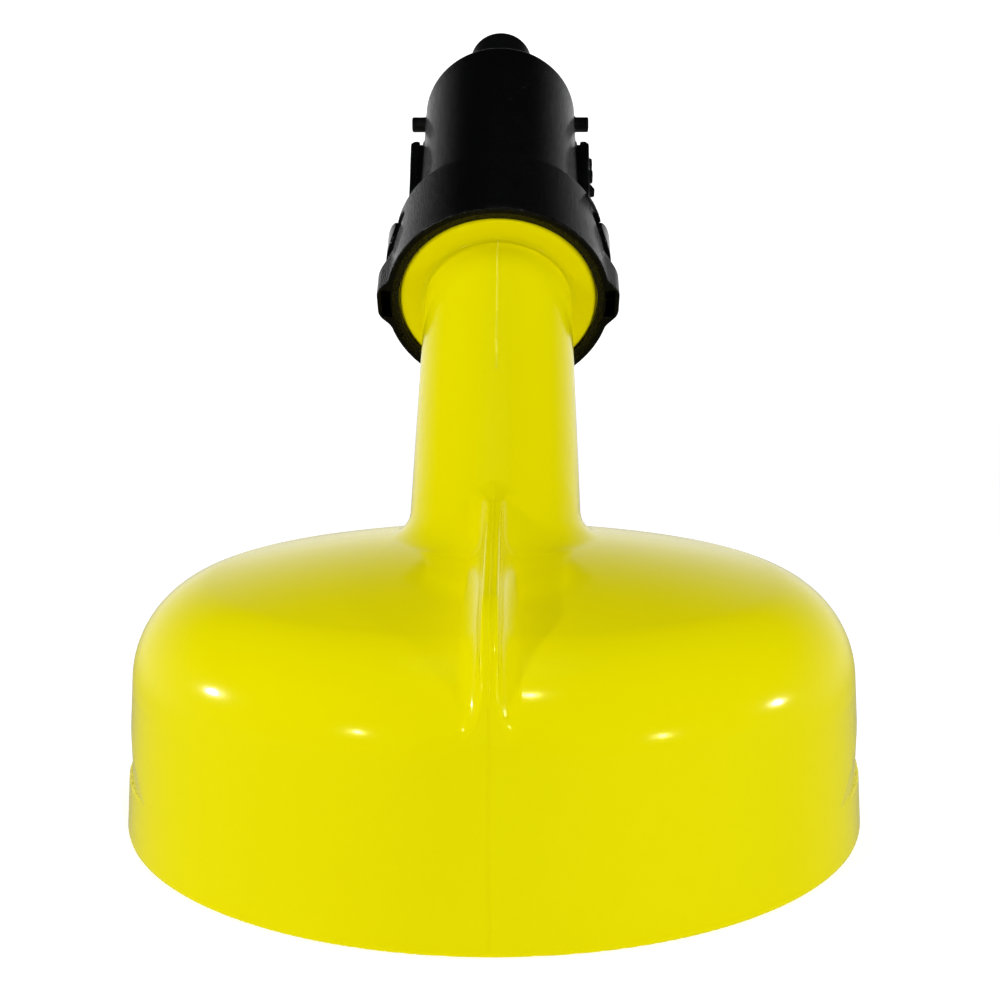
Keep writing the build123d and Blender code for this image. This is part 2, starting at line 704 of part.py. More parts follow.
# ---- barrel: tube with rails, pegs and screw grooves
with BuildPart() as barrel:
    with BuildSketch(spout_section) as barrel_profile:
        with BuildLine():
            Polyline(
                (barrel_bore, barrel_low),
                (barrel_radius, barrel_low),
                (barrel_radius, barrel_high),
                (tip_root_radius, barrel_high),
                (tip_root_radius, end_wall_low),
                (barrel_cone_radius, end_wall_low),
                (barrel_bore, end_wall_low - barrel_cone_length),
                close=True,
            )
        make_face()
        end_corner = barrel_profile.vertices().sort_by_distance((barrel_radius, barrel_high))[0]
        fillet(end_corner, barrel_end_round)
    revolve(axis=spout_axis)
    with BuildSketch(spout_section) as rail_profile:
        for side in sides:
            with BuildLine():
                Polyline(
                    (side * rail_root, rail_low),
                    (side * rail_reach, rail_low),
                    (side * rail_reach, flare_low),
                    (side * rail_end_reach, rail_high),
                    (side * rail_root, rail_high),
                    close=True,
                )
            make_face()
            end_corner = rail_profile.vertices().sort_by_distance((side * rail_end_reach, rail_high))[0]
            fillet(end_corner, rail_corner)
    extrude(amount=rail_width / 2, both=True)
    for face_side in sides:
        with BuildSketch(spout_section.offset(face_side * rail_width / 2)):
            with Locations((0, (rail_low + rail_high) / 2)):
                Rectangle(2 * rail_groove_high, rail_high - rail_low)
                Rectangle(2 * rail_groove_low, rail_high - rail_low, mode=Mode.SUBTRACT)
        extrude(amount=-face_side * rail_groove_depth, mode=Mode.SUBTRACT)
    for side in sides:
        with Locations(spout.offset(barrel_high - peg_inset) * Rotation(0, side * 90, 0)):
            with Locations((0, 0, rail_root)):
                Cylinder(peg_radius, barrel_radius + peg_height - rail_root, align=middle)
    for face in (barrel.faces().sort_by(Axis.X)[0], barrel.faces().sort_by(Axis.X)[-1]):
        chamfer(face.edges(), peg_edge)
    with BuildSketch(spout_section):
        for inset in rail_mark_insets:
            with Locations((rail_reach, rail_high - inset)):
                Rectangle(rail_mark_height, rail_mark_length, align=(Align.MIN, Align.CENTER))
        with BuildLine():
            Polyline(
                (rail_reach, pointer_low),
                (rail_reach + pointer_height, pointer_low),
                (rail_reach, pointer_low + pointer_length),
                close=True,
            )
        make_face()
    extrude(amount=rail_mark_width / 2, both=True)
    for side in sides:
        for step in range(groove_steps + 1):
            share = step / groove_steps
            place = spout.offset(pin_place - travel * share) * Rotation(0, 0, groove_angle - turn * share)
            with Locations(place * Rotation(0, side * 90, 0)):
                Cylinder(groove_half, barrel_bore + groove_depth, align=middle, mode=Mode.SUBTRACT)
barrel.part.label = "barrel"
export_step(barrel.part, "parts/barrel.step")

# ---- nozzle tip: outlet tube held in the barrel's end wall by its inner flange
with BuildPart() as nozzle_tip:
    with BuildSketch(spout_section) as tip_profile:
        with BuildLine():
            Polyline(
                (tip_bore, end_wall_low - tip_flange_thickness),
                (tip_flange_radius, end_wall_low - tip_flange_thickness),
                (tip_flange_radius, end_wall_low),
                (tip_root_radius, end_wall_low),
                (tip_root_radius, barrel_high),
                (tip_radius, barrel_high),
                (tip_radius, tip_high),
                (seat_bore, tip_high),
                (seat_bore, tip_high - seat_length),
                (tip_bore, tip_high - seat_length - seat_cone),
                close=True,
            )
        make_face()
        fillet(tip_profile.vertices().sort_by_distance((tip_radius, tip_high))[0], tip_round)
    revolve(axis=spout_axis)
    with BuildSketch(spout.offset(end_wall_low)):
        Circle(tip_seal_radius + tip_seal_section + groove_relief)
        Circle(tip_seal_radius - tip_seal_section - groove_relief, mode=Mode.SUBTRACT)
    extrude(amount=-2 * tip_seal_section, mode=Mode.SUBTRACT)
nozzle_tip.part.label = "nozzle_tip"
export_step(nozzle_tip.part, "parts/nozzle_tip.step")
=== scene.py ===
import json
import math

import bpy
import numpy as np
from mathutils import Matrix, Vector


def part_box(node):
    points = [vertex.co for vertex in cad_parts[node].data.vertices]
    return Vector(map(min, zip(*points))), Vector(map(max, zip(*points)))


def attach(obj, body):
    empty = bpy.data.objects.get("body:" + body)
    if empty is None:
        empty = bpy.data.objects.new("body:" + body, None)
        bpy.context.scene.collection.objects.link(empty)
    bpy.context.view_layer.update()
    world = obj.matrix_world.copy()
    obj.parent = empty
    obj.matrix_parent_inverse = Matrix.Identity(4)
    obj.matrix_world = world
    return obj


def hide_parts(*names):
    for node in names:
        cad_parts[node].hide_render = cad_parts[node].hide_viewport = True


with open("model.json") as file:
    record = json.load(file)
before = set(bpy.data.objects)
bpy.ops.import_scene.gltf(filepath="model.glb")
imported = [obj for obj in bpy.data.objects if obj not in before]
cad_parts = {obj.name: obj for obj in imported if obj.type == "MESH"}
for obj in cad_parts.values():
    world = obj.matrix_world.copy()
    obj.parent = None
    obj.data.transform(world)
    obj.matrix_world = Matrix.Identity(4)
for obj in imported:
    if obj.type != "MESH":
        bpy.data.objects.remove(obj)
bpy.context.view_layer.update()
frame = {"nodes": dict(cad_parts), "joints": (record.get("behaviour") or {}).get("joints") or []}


# ---- Cap, neck and gusset rib ----
# One thick-walled polyethylene moulding: a deep screw cap with a soft shoulder, an inclined neck that grows
# out of its crown on a rounded root, and a thin gusset rib in front. Every outside corner and every root has
# the radius that the mould gave it, so the skin is worked out as one rounded solid and then laid on it.
MM = 0.001

twist = next(joint for joint in frame["joints"] if joint["name"] == "collar_twist")
spout_foot = np.array(twist["pos_m"]) / MM
spout_along = np.array(twist["axis"])
spout_along = spout_along / np.linalg.norm(spout_along)
spout_upward = np.array([0.0, -spout_along[2], spout_along[1]])


def from_spout(places):
    """Directions given beside, along and above the spout, in the row frame."""
    return places[:, :1] * (1, 0, 0) + places[:, 1:2] * spout_along + places[:, 2:] * spout_upward


def inside_both(a, b, round_by):
    """Where two solids overlap, with the corner between them rounded."""
    a, b = a + round_by, b + round_by
    return np.minimum(np.maximum(a, b), 0) + np.hypot(np.maximum(a, 0), np.maximum(b, 0)) - round_by


def inside_either(a, b, round_by):
    """Two solids joined, with a fillet in the corner between them."""
    return -inside_both(-a, -b, round_by)


def band(value, low, high):
    """Distance out of the stretch from low to high."""
    return np.abs(value - (low + high) / 2) - (high - low) / 2


def shouldered(rho, z, top, crown_radius, wall_radius, wall_height, lean, shoulder):
    """A domed top that runs round a shoulder into a leaning wall."""
    crown_foot = crown_radius - top
    crown = np.hypot(rho, z + crown_foot) - crown_radius
    wall = (rho - wall_radius) * math.cos(lean) + (z - wall_height) * math.sin(lean)
    centre_z = top - shoulder
    for _ in range(20):
        centre_rho = wall_radius - (shoulder + (centre_z - wall_height) * math.sin(lean)) / math.cos(lean)
        centre_z = math.sqrt((crown_radius - shoulder) ** 2 - centre_rho**2) - crown_foot
    out, up = rho - centre_rho, z - centre_z
    past_wall = out * -math.sin(lean) + up * math.cos(lean) > 0
    past_crown = out * (centre_z + crown_foot) - up * centre_rho > 0
    return np.where(past_wall & past_crown, np.hypot(out, up) - shoulder, np.maximum(crown, wall))


def skin_normals(field, points, reach=0.02):
    """Outward directions of a solid's skin at these points."""
    slope = np.empty_like(points)
    for side in range(3):
        nudge = np.zeros(3)
        nudge[side] = reach
        slope[:, side] = field(*(points + nudge).T) - field(*(points - nudge).T)
    size = np.linalg.norm(slope, axis=1)
    size[size == 0] = 1
    return slope / size[:, None], size / (2 * reach)


def laid_skin(field, lines):
    """Lays a mesh of quads on a solid: one point in each cell of the grid that the skin passes through."""
    x, y, z = lines
    values = field(x[:, None, None], y[None, :, None], z[None, None, :])
    values = np.broadcast_to(values, (len(x), len(y), len(z)))
    solid = values < 0
    cells = tuple(n - 1 for n in solid.shape)
    corners = [(i, j, k) for i in (0, 1) for j in (0, 1) for k in (0, 1)]

    def shifted(array, corner):
        return array[tuple(slice(c, c + n) for c, n in zip(corner, cells))]

    count = sum(shifted(solid, corner).astype(np.int8) for corner in corners)
    used = np.nonzero((count > 0) & (count < 8))
    value_at = [shifted(values, corner)[used] for corner in corners]
    place = np.zeros((len(used[0]), 3))
    hits = np.zeros(len(used[0]))
    for a in range(8):
        for b in range(a + 1, 8):
            if sum(p != q for p, q in zip(corners[a], corners[b])) != 1:
                continue
            crossing = (value_at[a] < 0) != (value_at[b] < 0)
            share = np.zeros(len(hits))
            share[crossing] = value_at[a][crossing] / (value_at[a] - value_at[b])[crossing]
            way = np.array(corners[b]) - np.array(corners[a])
            place += crossing[:, None] * (np.array(corners[a]) + share[:, None] * way)
            hits += crossing
    place /= hits[:, None]
    points = np.empty_like(place)
    for side, line in enumerate(lines):
        start = line[used[side]]
        points[:, side] = start + place[:, side] * (line[used[side] + 1] - start)
    number = np.full(cells, -1)
    number[used] = np.arange(len(points))
    faces = []
    for side in range(3):
        near, far = [slice(None)] * 3, [slice(None)] * 3
        near[side], far[side] = slice(0, -1), slice(1, None)
        others = [s for s in range(3) if s != side]
        for s in others:
            near[s] = far[s] = slice(1, -1)
        before, after = solid[tuple(near)], solid[tuple(far)]
        for enters in (True, False):
            edge = np.argwhere((before != after) & (before == enters)) + 1
            edge[:, side] -= 1
            ring = []
            for p, q in ((0, 0), (1, 0), (1, 1), (0, 1)):
                cell = edge.copy()
                cell[:, others[0]] -= p
                cell[:, others[1]] -= q
                ring.append(number[tuple(cell.T)])
            turned = enters == (side == 1)
            faces.append(np.stack(ring if not turned else ring[::-1], axis=1))
    faces = np.concatenate(faces)
    pace = min((line[1:] - line[:-1]).max() for line in lines)
    for _ in range(4):
        normal, steep = skin_normals(field, points)
        step = np.clip(field(*points.T) / np.maximum(steep, 0.3), -pace / 2, pace / 2)
        points -= normal * step[:, None]
    return points, faces


def new_piece(name, points, faces, normals, body, material_slot, material):
    """A piece from points in millimetres in the row frame."""
    mesh = bpy.data.meshes.new(name)
    mesh.from_pydata((points * MM).tolist(), [], faces.tolist())
    mesh.validate()
    mesh.polygons.foreach_set("use_smooth", [True] * len(mesh.polygons))
    mesh.normals_split_custom_set_from_vertices(normals.tolist())
    piece = bpy.data.objects.new(name, mesh)
    bpy.context.collection.objects.link(piece)
    mesh.materials.append(material)
    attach(piece, body)
    return piece


def new_material(name):
    """A material with nothing but its shader, and the tree to build on."""
    material = bpy.data.materials.new(name)
    material.use_nodes = True
    tree = material.node_tree
    return material, tree, tree.nodes["Principled BSDF"]


def textured(tree, kind, scale, **sockets):
    """A texture that sits in the piece itself, in features per metre."""
    place = tree.nodes.new("ShaderNodeTexCoord")
    texture = tree.nodes.new(kind)
    tree.links.new(place.outputs["Object"], texture.inputs["Vector"])
    texture.inputs["Scale"].default_value = scale
    for socket, value in sockets.items():
        texture.inputs[socket].default_value = value
    return texture


def ranged(tree, source, low, high):
    """Turns a texture's 0 to 1 into low to high."""
    spread = tree.nodes.new("ShaderNodeMapRange")
    spread.inputs["To Min"].default_value = low
    spread.inputs["To Max"].default_value = high
    tree.links.new(source, spread.inputs["Value"])
    return spread.outputs["Result"]


def blended(tree, source, dark, light):
    """Turns a texture's 0 to 1 into a colour between two."""
    mix = tree.nodes.new("ShaderNodeMix")
    mix.data_type = "RGBA"
    mix.inputs["A"].default_value = (*dark, 1)
    mix.inputs["B"].default_value = (*light, 1)
    tree.links.new(source, mix.inputs["Factor"])
    return mix.outputs["Result"]


def embossed(tree, shader, source, depth):
    """Raises a texture by this depth in metres."""
    bump = tree.nodes.new("ShaderNodeBump")
    bump.inputs["Strength"].default_value = 1.0
    bump.inputs["Distance"].default_value = depth
    tree.links.new(source, bump.inputs["Height"])
    tree.links.new(bump.outputs["Normal"], shader.inputs["Normal"])


yellow, tree, shader = new_material("yellow_polyethylene")
flow = textured(tree, "ShaderNodeTexNoise", 22.0, Detail=3.0)
tree.links.new(
    blended(tree, flow.outputs["Fac"], (0.84, 0.755, 0.0), (0.87, 0.795, 0.0)), shader.inputs["Base Color"]
)
tree.links.new(ranged(tree, flow.outputs["Fac"], 0.10, 0.14), shader.inputs["Roughness"])
ripple = textured(tree, "ShaderNodeTexNoise", 260.0, Detail=2.0)
embossed(tree, shader, ripple.outputs["Fac"], 0.00002)
shader.inputs["IOR"].default_value = 1.5
shader.inputs["Specular IOR Level"].default_value = 0.15
shader.inputs["Specular Tint"].default_value = (1.0, 0.95, 0.3, 1)

rim_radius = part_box("spout_lid")[1].x / MM
skirt_lean = math.radians(4.4)
crown_top = 45.3
crown_radius = 235.0
shoulder_radius = 16.5
cap_wall = 2.5
rim_round = 0.8
mouth_radius = 58.0
lead_in_radius = 58.8
lead_in_depth = 5.0
ledge_low, ledge_high, ledge_width, ledge_rise = 21.0, 23.0, 3.0, 1.0
room_rise, room_draft, inner_shoulder = 13.3, 1.55, 13.3
mouth_edge, bore_fillet = 0.4, 0.5
panel_low, panel_high, panel_depth = 9.5, 20.5, 0.38
panel_run_out = math.cos(math.radians(20.5))
panel_edge = 0.3
neck_radius = 15.35
neck_bore = 12.7
neck_root = 3.3
neck_joint = 30.0
spigot_slope = 0.04
rib_half = 1.2
rib_draft = 0.03
rib_edge = 0.5
rib_root = 3.2
rib_start = (1.9, 52.9)
rib_nose_height = 44.9
rib_nose_radius = 15.0
rib_foot = 24.0
rib_set_in = 0.75
rib_fillet, rib_fillet_half, rib_fillet_low, rib_fillet_rise = 0.5, 4.3, 26, 8
rib_start_fillet, rib_start_reach = 2.2, 6
thread_pitch, thread_turns, thread_start = 6.0, 1.5, 7.5
thread_height, thread_foot, thread_crest = 1.3, 3.0, 1.2

panel_middle = rim_radius - math.tan(skirt_lean) * (panel_low + panel_high) / 2
panel_centre = (panel_depth**2 - 2 * panel_depth * panel_middle) / (
    2 * (panel_middle - panel_depth - panel_middle * panel_run_out)
)
panel_floor = panel_middle - panel_depth - panel_centre


def along_spout(x, y, z):
    """How far beside, above and along the spout a point is."""
    from_foot_y, from_foot_z = y - spout_foot[1], z - spout_foot[2]
    raised = from_foot_y * spout_upward[1] + from_foot_z * spout_upward[2]
    along = from_foot_y * spout_along[1] + from_foot_z * spout_along[2]
    return x, raised, along


def cap_field(x, y, z):
    """The moulding's solid: below zero inside it."""
    rho = np.hypot(x, y)
    side, raised, along = along_spout(x, y, z)
    reach = np.hypot(side, raised)

    dome = shouldered(rho, z, crown_top, crown_radius, rim_radius, 0.0, skirt_lean, shoulder_radius)
    dome = inside_both(dome, -z, rim_round)
    panel_skin = np.hypot(np.abs(x) - panel_centre, y) - panel_floor
    panel = np.maximum(-panel_skin, band(z, panel_low, panel_high))
    outside = inside_both(dome, -panel, np.clip(panel_skin, 0.01, panel_edge))

    hidden = np.maximum(along - neck_joint, 0) ** 2 * spigot_slope
    neck = np.maximum(reach - neck_radius + hidden, along - neck_joint - 3)
    neck = np.maximum(neck, crown_top - 2 * cap_wall - 4 - z)
    outside = inside_either(outside, neck, neck_root)

    rib_front = rim_radius - math.tan(skirt_lean) * rib_foot - rib_set_in
    slope = math.atan2(rib_start[1] - rib_nose_height, rib_start[0] + rib_front)
    ridge = (z - rib_start[1]) * math.cos(slope) - (y - rib_start[0]) * math.sin(slope)
    front = -y - rib_front
    centre_y = -rib_front + rib_nose_radius
    centre_z = rib_start[1] + (centre_y - rib_start[0]) * math.tan(slope) - rib_nose_radius / math.cos(slope)
    out, up = -(y - centre_y), z - centre_z
    past_front = up > 0
    past_ridge = out * math.cos(slope) - up * math.sin(slope) > 0
    outline = np.where(past_front & past_ridge, np.hypot(out, up) - rib_nose_radius, np.maximum(ridge, front))
    thick = rib_half + rib_draft * np.maximum(-outline, 0)
    rib = inside_either(outside, np.abs(x) - thick, rib_root)
    rib = inside_both(rib, outline, rib_edge)
    rib = np.maximum(rib, np.maximum(y - spout_foot[1], rib_foot - z))
    near_ridge = np.clip(1 - np.abs(x) / rib_fillet_half, 0, 1)
    near_ridge = near_ridge * np.clip((z - rib_fillet_low) / rib_fillet_rise, 0, 1)
    near_start = np.exp(-(((y - rib_start[0]) / rib_start_reach) ** 2))
    outside = inside_either(outside, rib, 0.01 + near_ridge * (rib_fillet + rib_start_fillet * near_start))

    wall_lean = math.atan2(room_draft, room_rise)
    room_top, room_foot = crown_top - cap_wall, ledge_high + ledge_rise
    room = shouldered(rho, z, room_top, crown_radius, mouth_radius, room_foot, wall_lean, inner_shoulder)
    ledge_top = ledge_high + (rho - mouth_radius + ledge_width) * ledge_rise / ledge_width
    room = np.maximum(room, ledge_top - z)
    room = np.minimum(room, np.maximum(rho - mouth_radius + ledge_width, band(z, -9.0, 30.0)))
    room = np.minimum(room, np.maximum(rho - mouth_radius, band(z, -9.0, ledge_low)))
    room = np.minimum(room, np.maximum(rho - lead_in_radius, band(z, -9.0, lead_in_depth)))
    bore = np.maximum(reach - neck_bore - hidden, -along - 2 * neck_radius)
    room = inside_either(room, bore, bore_fillet)
    solid = inside_both(outside, -room, mouth_edge)

    turn = np.arctan2(y, x) / (2 * math.pi)
    turn = turn + (turn < 0)
    for lap in range(2):
        wound = turn + lap
        fade = np.clip(np.minimum(wound, thread_turns - wound) * 14, 0, 1)
        from_wall = mouth_radius - rho
        off_line = np.abs(z - thread_start - thread_pitch * wound)
        flank = off_line - thread_foot / 2 + from_wall * (thread_foot - thread_crest) / (2 * thread_height)
        ridge = np.maximum(flank, from_wall - thread_height * fade)
        ridge = np.maximum(ridge, rho - mouth_radius - 1)
        ridge = np.where((fade > 0) & (rho > 50), ridge, 9.0)
        solid = np.minimum(solid, ridge)
    return solid


skirt_lines = np.arange(-0.9, 26.0, 0.5)
crown_lines = np.arange(26.0, 74.5, 0.8)
across = np.arange(-rim_radius - 1.2, rim_radius + 1.3, 0.8)
beside_rib = across[across > 5.6]
over_rib = np.arange(-5.5, 5.6, 0.22)
rib_across = np.concatenate([-beside_rib[::-1], over_rib, beside_rib])
cap_points, cap_faces = laid_skin(cap_field, (rib_across, across, np.concatenate([skirt_lines, crown_lines])))
cap_normals, _ = skin_normals(cap_field, cap_points)
cap = new_piece("cap_moulding", cap_points, cap_faces, cap_normals, "lid", "yellow_moulding", yellow)


# ---- Neck end and flange ----
# The top half of the inclined neck, part of the same moulding, with the flange that the collar turns on. The
# neck runs into the flange on a small fillet, and the flange's edge is rounded off by the mould.
flange_back, flange_step, flange_end = 70.25, 71.65, 73.65
flange_radius, step_radius, socket_radius = 20.55, 21.4, 13.6
flange_edge, flange_fillet = 0.7, 1.0
socket_low = 61.65


def neck_field(x, along, raised):
    """The upper neck's solid, in the spout's own directions."""
    reach = np.hypot(x, raised)
    hidden = np.maximum(neck_joint - along, 0) ** 2 * spigot_slope
    neck = np.maximum(reach - neck_radius + hidden, along - flange_end)
    flange = inside_both(reach - flange_radius, flange_back - along, flange_edge)
    flange = np.maximum(flange, along - flange_end)
    outside = inside_either(neck, flange, flange_fillet)
    outside = np.minimum(outside, np.maximum(reach - step_radius, band(along, flange_step, flange_end)))
    outside = np.maximum(outside, neck_joint - 3 - along)
    bore = np.minimum(reach - neck_bore - hidden, np.maximum(reach - socket_radius, socket_low - along))
    return np.maximum(outside, -bore)


def spout_piece(name, field, lines, *rest):
    """Lays a solid of the spout's own directions and turns it into place."""
    points, faces = laid_skin(field, lines)
    normals, _ = skin_normals(field, points)
    return new_piece(name, spout_foot + from_spout(points), faces, from_spout(normals), *rest)


ring_lines = np.arange(-step_radius - 1.0, step_radius + 1.1, 0.5)
neck_lines = np.concatenate([np.arange(neck_joint - 4.03, 66, 1.0), np.arange(66, flange_end + 1, 0.35)])
neck = spout_piece(
    "neck_moulding", neck_field, (ring_lines, neck_lines, ring_lines), "lid", "yellow_moulding", yellow
)
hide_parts("spout_lid", "spout_neck")
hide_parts("spout_neck")


# ---- Parting line ----
# Where the two halves of the mould met there is a hair of flash, up the front of the skirt, over the rib and
# on up the neck to the flange. It wanders a little from side to side, and on the neck it is thin, and its
# paler colour is a painted highlight, as if light caught the ridge.


def front_line(field, start, stop, up_axis, step=0.5):
    """Follows a solid's front in its middle plane, from the start until it passes the stop."""
    place, line = np.array([start], float), []
    while len(line) < 900 and place[0, up_axis[0]] * up_axis[1] < stop * up_axis[1]:
        for _ in range(3):
            normal, steep = skin_normals(field, place)
            place = place - normal * (field(*place.T) / np.maximum(steep, 0.3))[:, None]
        line.append((place[0].copy(), normal[0].copy()))
        place = place + np.cross((-1, 0, 0), normal) * step * up_axis[2]
    return line


def flash(name, line, turned, half, height, *rest):
    """A low rounded strand on that line."""
    flank, brow, sunk = 0.6 * half, 0.75 * height, -0.03
    section = [(-half, sunk), (-flank, brow), (0, height), (flank, brow), (half, sunk)]
    points, normals, faces = [], [], []
    for i, (place, normal) in enumerate(line):
        sway = 0.07 * math.sin(0.21 * i) * math.sin(0.053 * i + 1)
        for across_by, out_by in section:
            points.append(place + normal * out_by + np.array((across_by + sway, 0, 0)))
            tilt = 0.6 * math.atan2(across_by * 1.2, half)
            normals.append(normal * math.cos(tilt) + np.array((math.sin(tilt), 0, 0)))
        if i:
            low, high = 5 * (i - 1), 5 * i
            faces += [(low + k, low + k + 1, high + k + 1, high + k) for k in range(4)]
    points, normals = np.array(points), np.array(normals)
    if turned:
        points, normals = spout_foot + from_spout(points), from_spout(normals)
    return new_piece(name, points, np.array(faces), normals, *rest)


# Paler yellow for the neck's flash: a painted highlight standing in for light caught along its ridge.
neck_flash_painted_highlight, tree, shader = new_material("neck_flash_painted_highlight")
thin = textured(tree, "ShaderNodeTexNoise", 140.0, Detail=2.0)
tree.links.new(
    blended(tree, thin.outputs["Fac"], (0.87, 0.80, 0.01), (0.93, 0.87, 0.06)), shader.inputs["Base Color"]
)
tree.links.new(ranged(tree, thin.outputs["Fac"], 0.2, 0.35), shader.inputs["Roughness"])
cap_line = front_line(cap_field, (0, -rim_radius, 1.2), 0, (1, 1, 1))
cap_line = [(p, n) for p, n in cap_line if along_spout(*p)[2] < neck_joint]
flash("cap_flash", cap_line, False, 0.17, 0.09, "lid", "yellow_moulding", yellow)
neck_line = front_line(neck_field, (0, neck_joint, neck_radius), flange_back - 0.2, (1, 1, 1))
flash("neck_flash", neck_line, True, 0.2, 0.13, "lid", "yellow_moulding", neck_flash_painted_highlight)


# ---- Mouth gasket and O-rings ----
# A flat black rubber ring seats on the can's mouth under the ledge. Nitrile O-rings in turned grooves seal
# the core against the neck, the barrel against the core's tube, the tip in its seat and the plug in the tip.
rubber, tree, shader = new_material("black_rubber")
bloom = textured(tree, "ShaderNodeTexNoise", 160.0, Detail=4.0)
tree.links.new(
    blended(tree, bloom.outputs["Fac"], (0.009, 0.009, 0.010), (0.020, 0.020, 0.021)),
    shader.inputs["Base Color"],
)
tree.links.new(ranged(tree, bloom.outputs["Fac"], 0.52, 0.68), shader.inputs["Roughness"])
talc = textured(tree, "ShaderNodeTexNoise", 2400.0, Detail=2.0)
embossed(tree, shader, talc.outputs["Fac"], 0.00003)


def dressed(material, *nodes):
    """Gives solids of the frame their finish."""
    for node in nodes:
        materials = frame["nodes"][node].data.materials
        materials.clear()
        materials.append(material)


dressed(rubber, "lid_gasket", "core_seal", "barrel_seal_lower", "barrel_seal_upper", "plug_seal", "tip_seal")


# ---- Valve core ----
# The fixed heart of the nozzle, moulded in light grey acetal: a spigot bonded into the neck, a tube that the
# barrel slides on, and a spider that holds the stem. Its surface is smooth with a faint swirl from the gate.
acetal, tree, shader = new_material("grey_acetal")
swirl = textured(tree, "ShaderNodeTexNoise", 70.0, Detail=3.0, Distortion=1.2)
tree.links.new(
    blended(tree, swirl.outputs["Fac"], (0.40, 0.41, 0.39), (0.47, 0.475, 0.455)), shader.inputs["Base Color"]
)
tree.links.new(ranged(tree, swirl.outputs["Fac"], 0.33, 0.42), shader.inputs["Roughness"])
pit = textured(tree, "ShaderNodeTexNoise", 1500.0, Detail=2.0)
embossed(tree, shader, pit.outputs["Fac"], 0.00002)
dressed(acetal, "valve_core")


# ---- Stem, nut, washer and cam pins ----
# Turned stainless steel. The stem is a rod screwed up tight against the spider with a washer and a nut, and
# the two cam pins are pressed into the core. Turning leaves fine rings, and handling leaves a slight haze.
steel, tree, shader = new_material("turned_steel")
haze = textured(tree, "ShaderNodeTexNoise", 300.0, Detail=3.0)
tree.links.new(
    blended(tree, haze.outputs["Fac"], (0.50, 0.50, 0.49), (0.62, 0.62, 0.61)), shader.inputs["Base Color"]
)
tree.links.new(ranged(tree, haze.outputs["Fac"], 0.22, 0.36), shader.inputs["Roughness"])
shader.inputs["Metallic"].default_value = 1.0
feed = textured(tree, "ShaderNodeTexWave", 900.0, Distortion=0.4)
embossed(tree, shader, feed.outputs["Fac"], 0.000006)
dressed(steel, "stem", "stem_nut", "stem_washer", "cam_pins")


# ---- Plug ----
# The round black acetal plug on the end of the stem. It fills the tip's bore while the nozzle is shut.
jet, tree, shader = new_material("black_acetal")
wear = textured(tree, "ShaderNodeTexNoise", 500.0, Detail=3.0)
tree.links.new(
    blended(tree, wear.outputs["Fac"], (0.006, 0.006, 0.007), (0.014, 0.014, 0.015)),
    shader.inputs["Base Color"],
)
tree.links.new(ranged(tree, wear.outputs["Fac"], 0.24, 0.36), shader.inputs["Roughness"])
dressed(jet, "plug")


# ---- Twist collar ----
# A black polypropylene ring that turns on the flange. It has two wings with open pockets at its wide end, two
# oval hollows for the thumb pads, slots for the barrel's rails and a small raised turn mark. The faces that
# look back at the cap are matt.
black, tree, shader = new_material("black_satin")
grain = textured(tree, "ShaderNodeTexNoise", 2600.0, Detail=2.0)
cloud = textured(tree, "ShaderNodeTexNoise", 45.0, Detail=3.0)
tree.links.new(
    blended(tree, cloud.outputs["Fac"], (0.0007, 0.0008, 0.0009), (0.0016, 0.0017, 0.0020)),
    shader.inputs["Base Color"],
)
tree.links.new(ranged(tree, cloud.outputs["Fac"], 0.09, 0.14), shader.inputs["Roughness"])
shader.inputs["Specular IOR Level"].default_value = 0.36
embossed(tree, shader, grain.outputs["Fac"], 0.0003)

collar_low, collar_high = 69.4, 91.75
collar_rim, collar_top = 23.55, 22.45
collar_edge, collar_fillet = 0.45, 0.4
wing_reach, wing_tip, wing_corner, wing_side, wing_root = 25.35, 3.4, 0.85, 4.4, 6.2
wing_high, wing_foot, wing_round, wing_end_round = 76.5, 15, 1.0, 0.35
pocket_inner, pocket_reach, pocket_half, pocket_high = 22.62, 24.4, 3.3, 75.2
pocket_edge, hollow_edge, hollow_foot = 0.25, 0.35, 9
pad_place, pad_half_width, pad_half_height, pad_floor = 86.3, 8.0, 4.4, 21.9
moat_end, moat = 2.6, 1.0
web_high, bore_edge = 76.55, 0.2
bores = (
    (22.07, collar_low - 9, 71.3), (21.75, 71.0, 74.55), (17.6, 74.0, 76.8), (18.3, web_high, collar_high + 9)
)
notch_reach, notch_half, cheek_half, lip_low = 20.4, 2.5, 4.5, 89.55
mark_angles = (math.radians(16), math.radians(34))
mark_low, mark_high, mark_height, mark_edge = 89.65, 90.95, 0.45, 0.2


def flat_between(u, v, start, end):
    """Distance to the right of the line from start to end."""
    way = np.array(end, float) - np.array(start, float)
    way /= np.linalg.norm(way)
    return (u - start[0]) * way[1] - (v - start[1]) * way[0]


